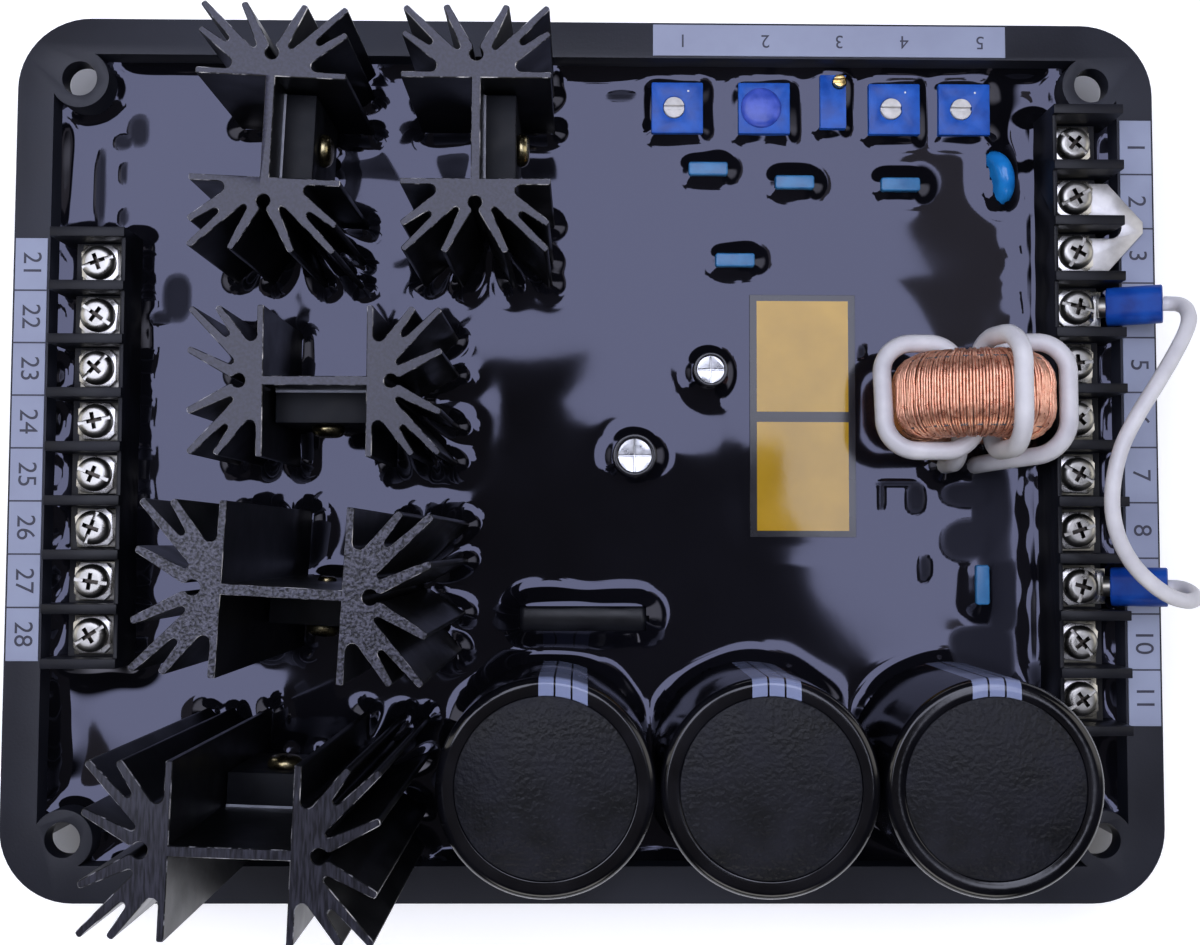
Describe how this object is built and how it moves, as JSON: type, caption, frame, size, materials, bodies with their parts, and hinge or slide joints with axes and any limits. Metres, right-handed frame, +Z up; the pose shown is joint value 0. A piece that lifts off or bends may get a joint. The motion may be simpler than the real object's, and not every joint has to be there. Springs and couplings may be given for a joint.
{
  "type": "automatic voltage regulator",
  "caption": "Open resin-potted generator voltage regulator: flanged tray with barrier terminal strips, finned heat sinks, filter capacitors, trimmers and a current transformer.",
  "frame": {"origin": "centre of the tray's base", "axes": "+X along the long side towards the longer terminal strip, +Y towards the trimmers, +Z up out of the tray"},
  "size_m": [0.207, 0.1574, 0.078],
  "materials": {
    "moulded_abs": "black, matte moulded",
    "epoxy_resin": "black, cast gloss",
    "board_laminate": "green solder mask",
    "strip_phenolic": "black, satin moulded",
    "nickel_plate": "nickel plated",
    "tinned_copper": "matte tin",
    "anodised_aluminium": "black anodised, bare saw cuts at the ends",
    "device_epoxy": "dark grey moulded",
    "insulating_pad": "grey insulating sheet",
    "passivated_steel": "yellow passivated",
    "shrink_sleeve": "black, shrunk PVC",
    "fibre_disc": "dark fibre",
    "bare_aluminium": "bright drawn",
    "film_dip": "blue dipped lacquer",
    "disc_dip": "blue dipped lacquer",
    "resistor_coat": "dark lacquer",
    "trimmer_case": "blue moulded",
    "white_nylon": "white moulded",
    "seal_lacquer": "blue sealing lacquer",
    "brass": "turned brass",
    "ferrite": "sintered",
    "enamelled_copper": "clear enamel on copper wire",
    "white_pvc": "white extruded PVC",
    "blue_vinyl": "blue vinyl",
    "label_film": "grey film",
    "yellow_film": "yellow and black film"
  },
  "bodies": {
    "housing": {"tray": "moulded_abs", "circuit_board": "board_laminate", "potting_resin": "epoxy_resin", "left_terminal_block": "strip_phenolic", "right_terminal_block": "strip_phenolic", "heat_sink_pins": "nickel_plate", "device_screws": "passivated_steel", "insulating_pads": "insulating_pad", "capacitor_end_discs": "fibre_disc", "disc_capacitor": "disc_dip", "axial_resistor": "resistor_coat", "trimmer_seal": "seal_lacquer", "multiturn_trimmer_body": "trimmer_case", "transformer_core": "ferrite", "transformer_winding": "enamelled_copper", "transformer_lead": "white_pvc", "link_plate": "tinned_copper", "jumper_terminals": "tinned_copper", "jumper_sleeves": "blue_vinyl", "jumper_wire": "white_pvc", "rim_labels": "label_film", "centre_label": "yellow_film", "left_terminal_plates": "nickel_plate", "left_terminal_washers": "nickel_plate", "left_terminal_screws": "nickel_plate", "right_terminal_plates": "nickel_plate", "right_terminal_washers": "nickel_plate", "right_terminal_screws": "nickel_plate", "heat_sink_1": "anodised_aluminium", "power_device_1": "device_epoxy", "film_capacitor_1": "film_dip", "heat_sink_2": "anodised_aluminium", "power_device_2": "device_epoxy", "film_capacitor_2": "film_dip", "heat_sink_3": "anodised_aluminium", "power_device_3": "device_epoxy", "film_capacitor_3": "film_dip", "heat_sink_4": "anodised_aluminium", "power_device_4": "device_epoxy", "film_capacitor_4": "film_dip", "heat_sink_5": "anodised_aluminium", "power_device_5": "device_epoxy", "film_capacitor_5": "film_dip", "filter_capacitor_1": "shrink_sleeve", "filter_capacitor_2": "shrink_sleeve", "filter_capacitor_3": "shrink_sleeve", "small_capacitor_can_1": "bare_aluminium", "small_capacitor_sleeve_1": "shrink_sleeve", "small_capacitor_can_2": "bare_aluminium", "small_capacitor_sleeve_2": "shrink_sleeve", "trimmer_body_1": "trimmer_case", "trimmer_body_2": "trimmer_case", "trimmer_rotor_2": "white_nylon", "trimmer_body_3": "trimmer_case", "trimmer_body_4": "trimmer_case"},
    "trimmer_rotor_1": {"trimmer_rotor_1": "white_nylon"},
    "trimmer_rotor_3": {"trimmer_rotor_3": "white_nylon"},
    "trimmer_rotor_4": {"trimmer_rotor_4": "white_nylon"},
    "multiturn_trimmer_screw": {"multiturn_trimmer_screw": "brass"}
  },
  "joints": [
    {"name": "trimmer_1_turn", "type": "hinge", "parent": "housing", "child": "trimmer_rotor_1", "pos_m": [0.0159, 0.06445, 0.018], "axis": [0, 0, 1], "range_deg": [-140, 140]},
    {"name": "trimmer_3_turn", "type": "hinge", "parent": "housing", "child": "trimmer_rotor_3", "pos_m": [0.0559, 0.06445, 0.018], "axis": [0, 0, 1], "range_deg": [-140, 140]},
    {"name": "trimmer_4_turn", "type": "hinge", "parent": "housing", "child": "trimmer_rotor_4", "pos_m": [0.0688, 0.06445, 0.018], "axis": [0, 0, 1], "range_deg": [-140, 140]},
    {"name": "multiturn_screw_turn", "type": "hinge", "parent": "housing", "child": "multiturn_trimmer_screw", "pos_m": [0.0463, 0.06935, 0.018], "axis": [0, 0, 1], "continuous": true}
  ]
}
